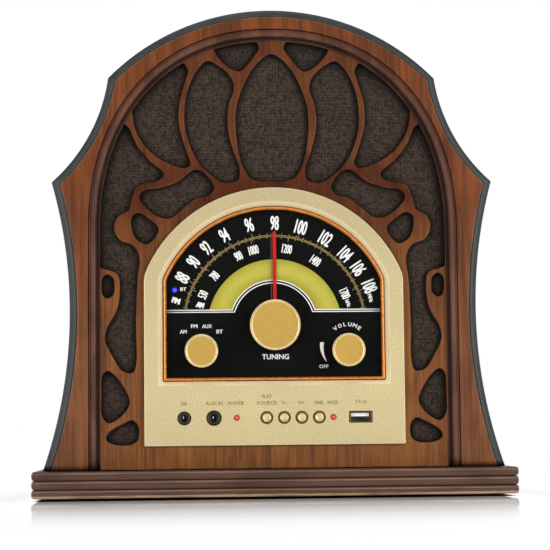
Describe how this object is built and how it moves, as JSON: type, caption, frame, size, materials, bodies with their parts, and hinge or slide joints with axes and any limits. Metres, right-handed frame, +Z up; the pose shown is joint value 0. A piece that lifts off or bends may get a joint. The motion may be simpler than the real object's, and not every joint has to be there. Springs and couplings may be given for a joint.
{
  "type": "cathedral radio",
  "caption": "Table-top cathedral radio: arched walnut cabinet on a reeded plinth, pierced grille over two speakers, half-round tuning dial, knobs, buttons and sockets.",
  "frame": {"origin": "under the middle of the plinth, on the surface that the feet stand on", "axes": "+Z up, +X to the right seen from the front, the front faces -Y"},
  "size_m": [0.3, 0.164, 0.3071],
  "materials": {
    "walnut": "satin walnut veneer with a vertical grain",
    "mahogany": "satin dark stain over turned and reeded wood",
    "black_lacquer": "black lacquer on the front board's rounded edge",
    "grille_fabric": "dark brown woven speaker cloth",
    "plywood": "bare birch plywood",
    "champagne": "fine-grained champagne gold paint",
    "copper": "glossy copper paint",
    "clear": "clear acrylic",
    "gloss_black": "gloss black",
    "pointer_red": "red",
    "gold": "gold-anodised, turned face with a bright chamfer",
    "steel": "zinc-plated steel",
    "black_plastic": "moulded, satin",
    "white_plastic": "moulded, pale",
    "circuit_board": "green solder mask",
    "red_lamp": "lit red lamp",
    "blue_lamp": "lit blue lamp",
    "cone_paper": "pressed black paper",
    "ferrite": "sintered ferrite",
    "copper_wire": "enamelled copper winding",
    "rubber": "matt"
  },
  "bodies": {
    "cabinet": {"plinth": "mahogany", "foot_front_left": "rubber", "foot_front_right": "rubber", "foot_rear_left": "rubber", "foot_rear_right": "rubber", "front_frame": "walnut", "bead_moulding": "mahogany", "fretwork_panel": "walnut", "grille_cloth": "grille_fabric", "speaker_baffle": "plywood", "cabinet_shell": "walnut", "rear_cleat": "plywood", "back_panel": "plywood", "back_screw_1": "steel", "back_screw_2": "steel", "back_screw_3": "steel", "back_screw_4": "steel", "power_inlet": "black_plastic", "escutcheon": "champagne", "dial_bezel": "copper", "dial_lens": "clear", "dial_plate": "gloss_black", "dial_chassis": "steel", "tuning_capacitor": "clear", "selector_switch": "black_plastic", "volume_potentiometer": "steel", "headphone_jack": "black_plastic", "aux_jack": "black_plastic", "power_lamp": "red_lamp", "mode_lamp": "red_lamp", "wireless_lamp": "blue_lamp", "usb_socket": "steel", "usb_tongue": "white_plastic", "control_board": "circuit_board", "main_board": "circuit_board", "power_transformer": "steel", "aerial_rod": "ferrite", "aerial_coil": "copper_wire", "aerial_bracket": "black_plastic", "tact_switch_1": "black_plastic", "tact_switch_2": "black_plastic", "tact_switch_3": "black_plastic", "tact_switch_4": "black_plastic", "speaker_frame_left": "steel", "speaker_cone_left": "cone_paper", "speaker_magnet_left": "ferrite", "speaker_frame_right": "steel", "speaker_cone_right": "cone_paper", "speaker_magnet_right": "ferrite"},
    "tuning": {"tuning_knob": "gold", "tuning_shaft": "steel", "pointer": "pointer_red"},
    "selector": {"selector_knob": "gold", "selector_shaft": "steel"},
    "volume": {"volume_knob": "gold", "volume_shaft": "steel"},
    "button_1": {"push_button_1": "gold"},
    "button_2": {"push_button_2": "gold"},
    "button_3": {"push_button_3": "gold"},
    "button_4": {"push_button_4": "gold"}
  },
  "joints": [
    {"name": "tuning_turn", "type": "hinge", "parent": "cabinet", "child": "tuning", "pos_m": [0, -0.07, 0.107], "axis": [0, 1, 0], "range_deg": [-80, 80]},
    {"name": "selector_turn", "type": "hinge", "parent": "cabinet", "child": "selector", "pos_m": [-0.0457, -0.07, 0.0913], "axis": [0, 1, 0], "range_deg": [-30, 60]},
    {"name": "volume_turn", "type": "hinge", "parent": "cabinet", "child": "volume", "pos_m": [0.0457, -0.07, 0.0913], "axis": [0, 1, 0], "range_deg": [0, 300]},
    {"name": "button_1_press", "type": "slide", "parent": "cabinet", "child": "button_1", "axis": [0, 1, 0], "range_m": [0, 0.0008], "stiffness_N_per_m": 2000, "springref_m": -0.0005},
    {"name": "button_2_press", "type": "slide", "parent": "cabinet", "child": "button_2", "axis": [0, 1, 0], "range_m": [0, 0.0008], "stiffness_N_per_m": 2000, "springref_m": -0.0005},
    {"name": "button_3_press", "type": "slide", "parent": "cabinet", "child": "button_3", "axis": [0, 1, 0], "range_m": [0, 0.0008], "stiffness_N_per_m": 2000, "springref_m": -0.0005},
    {"name": "button_4_press", "type": "slide", "parent": "cabinet", "child": "button_4", "axis": [0, 1, 0], "range_m": [0, 0.0008], "stiffness_N_per_m": 2000, "springref_m": -0.0005}
  ]
}
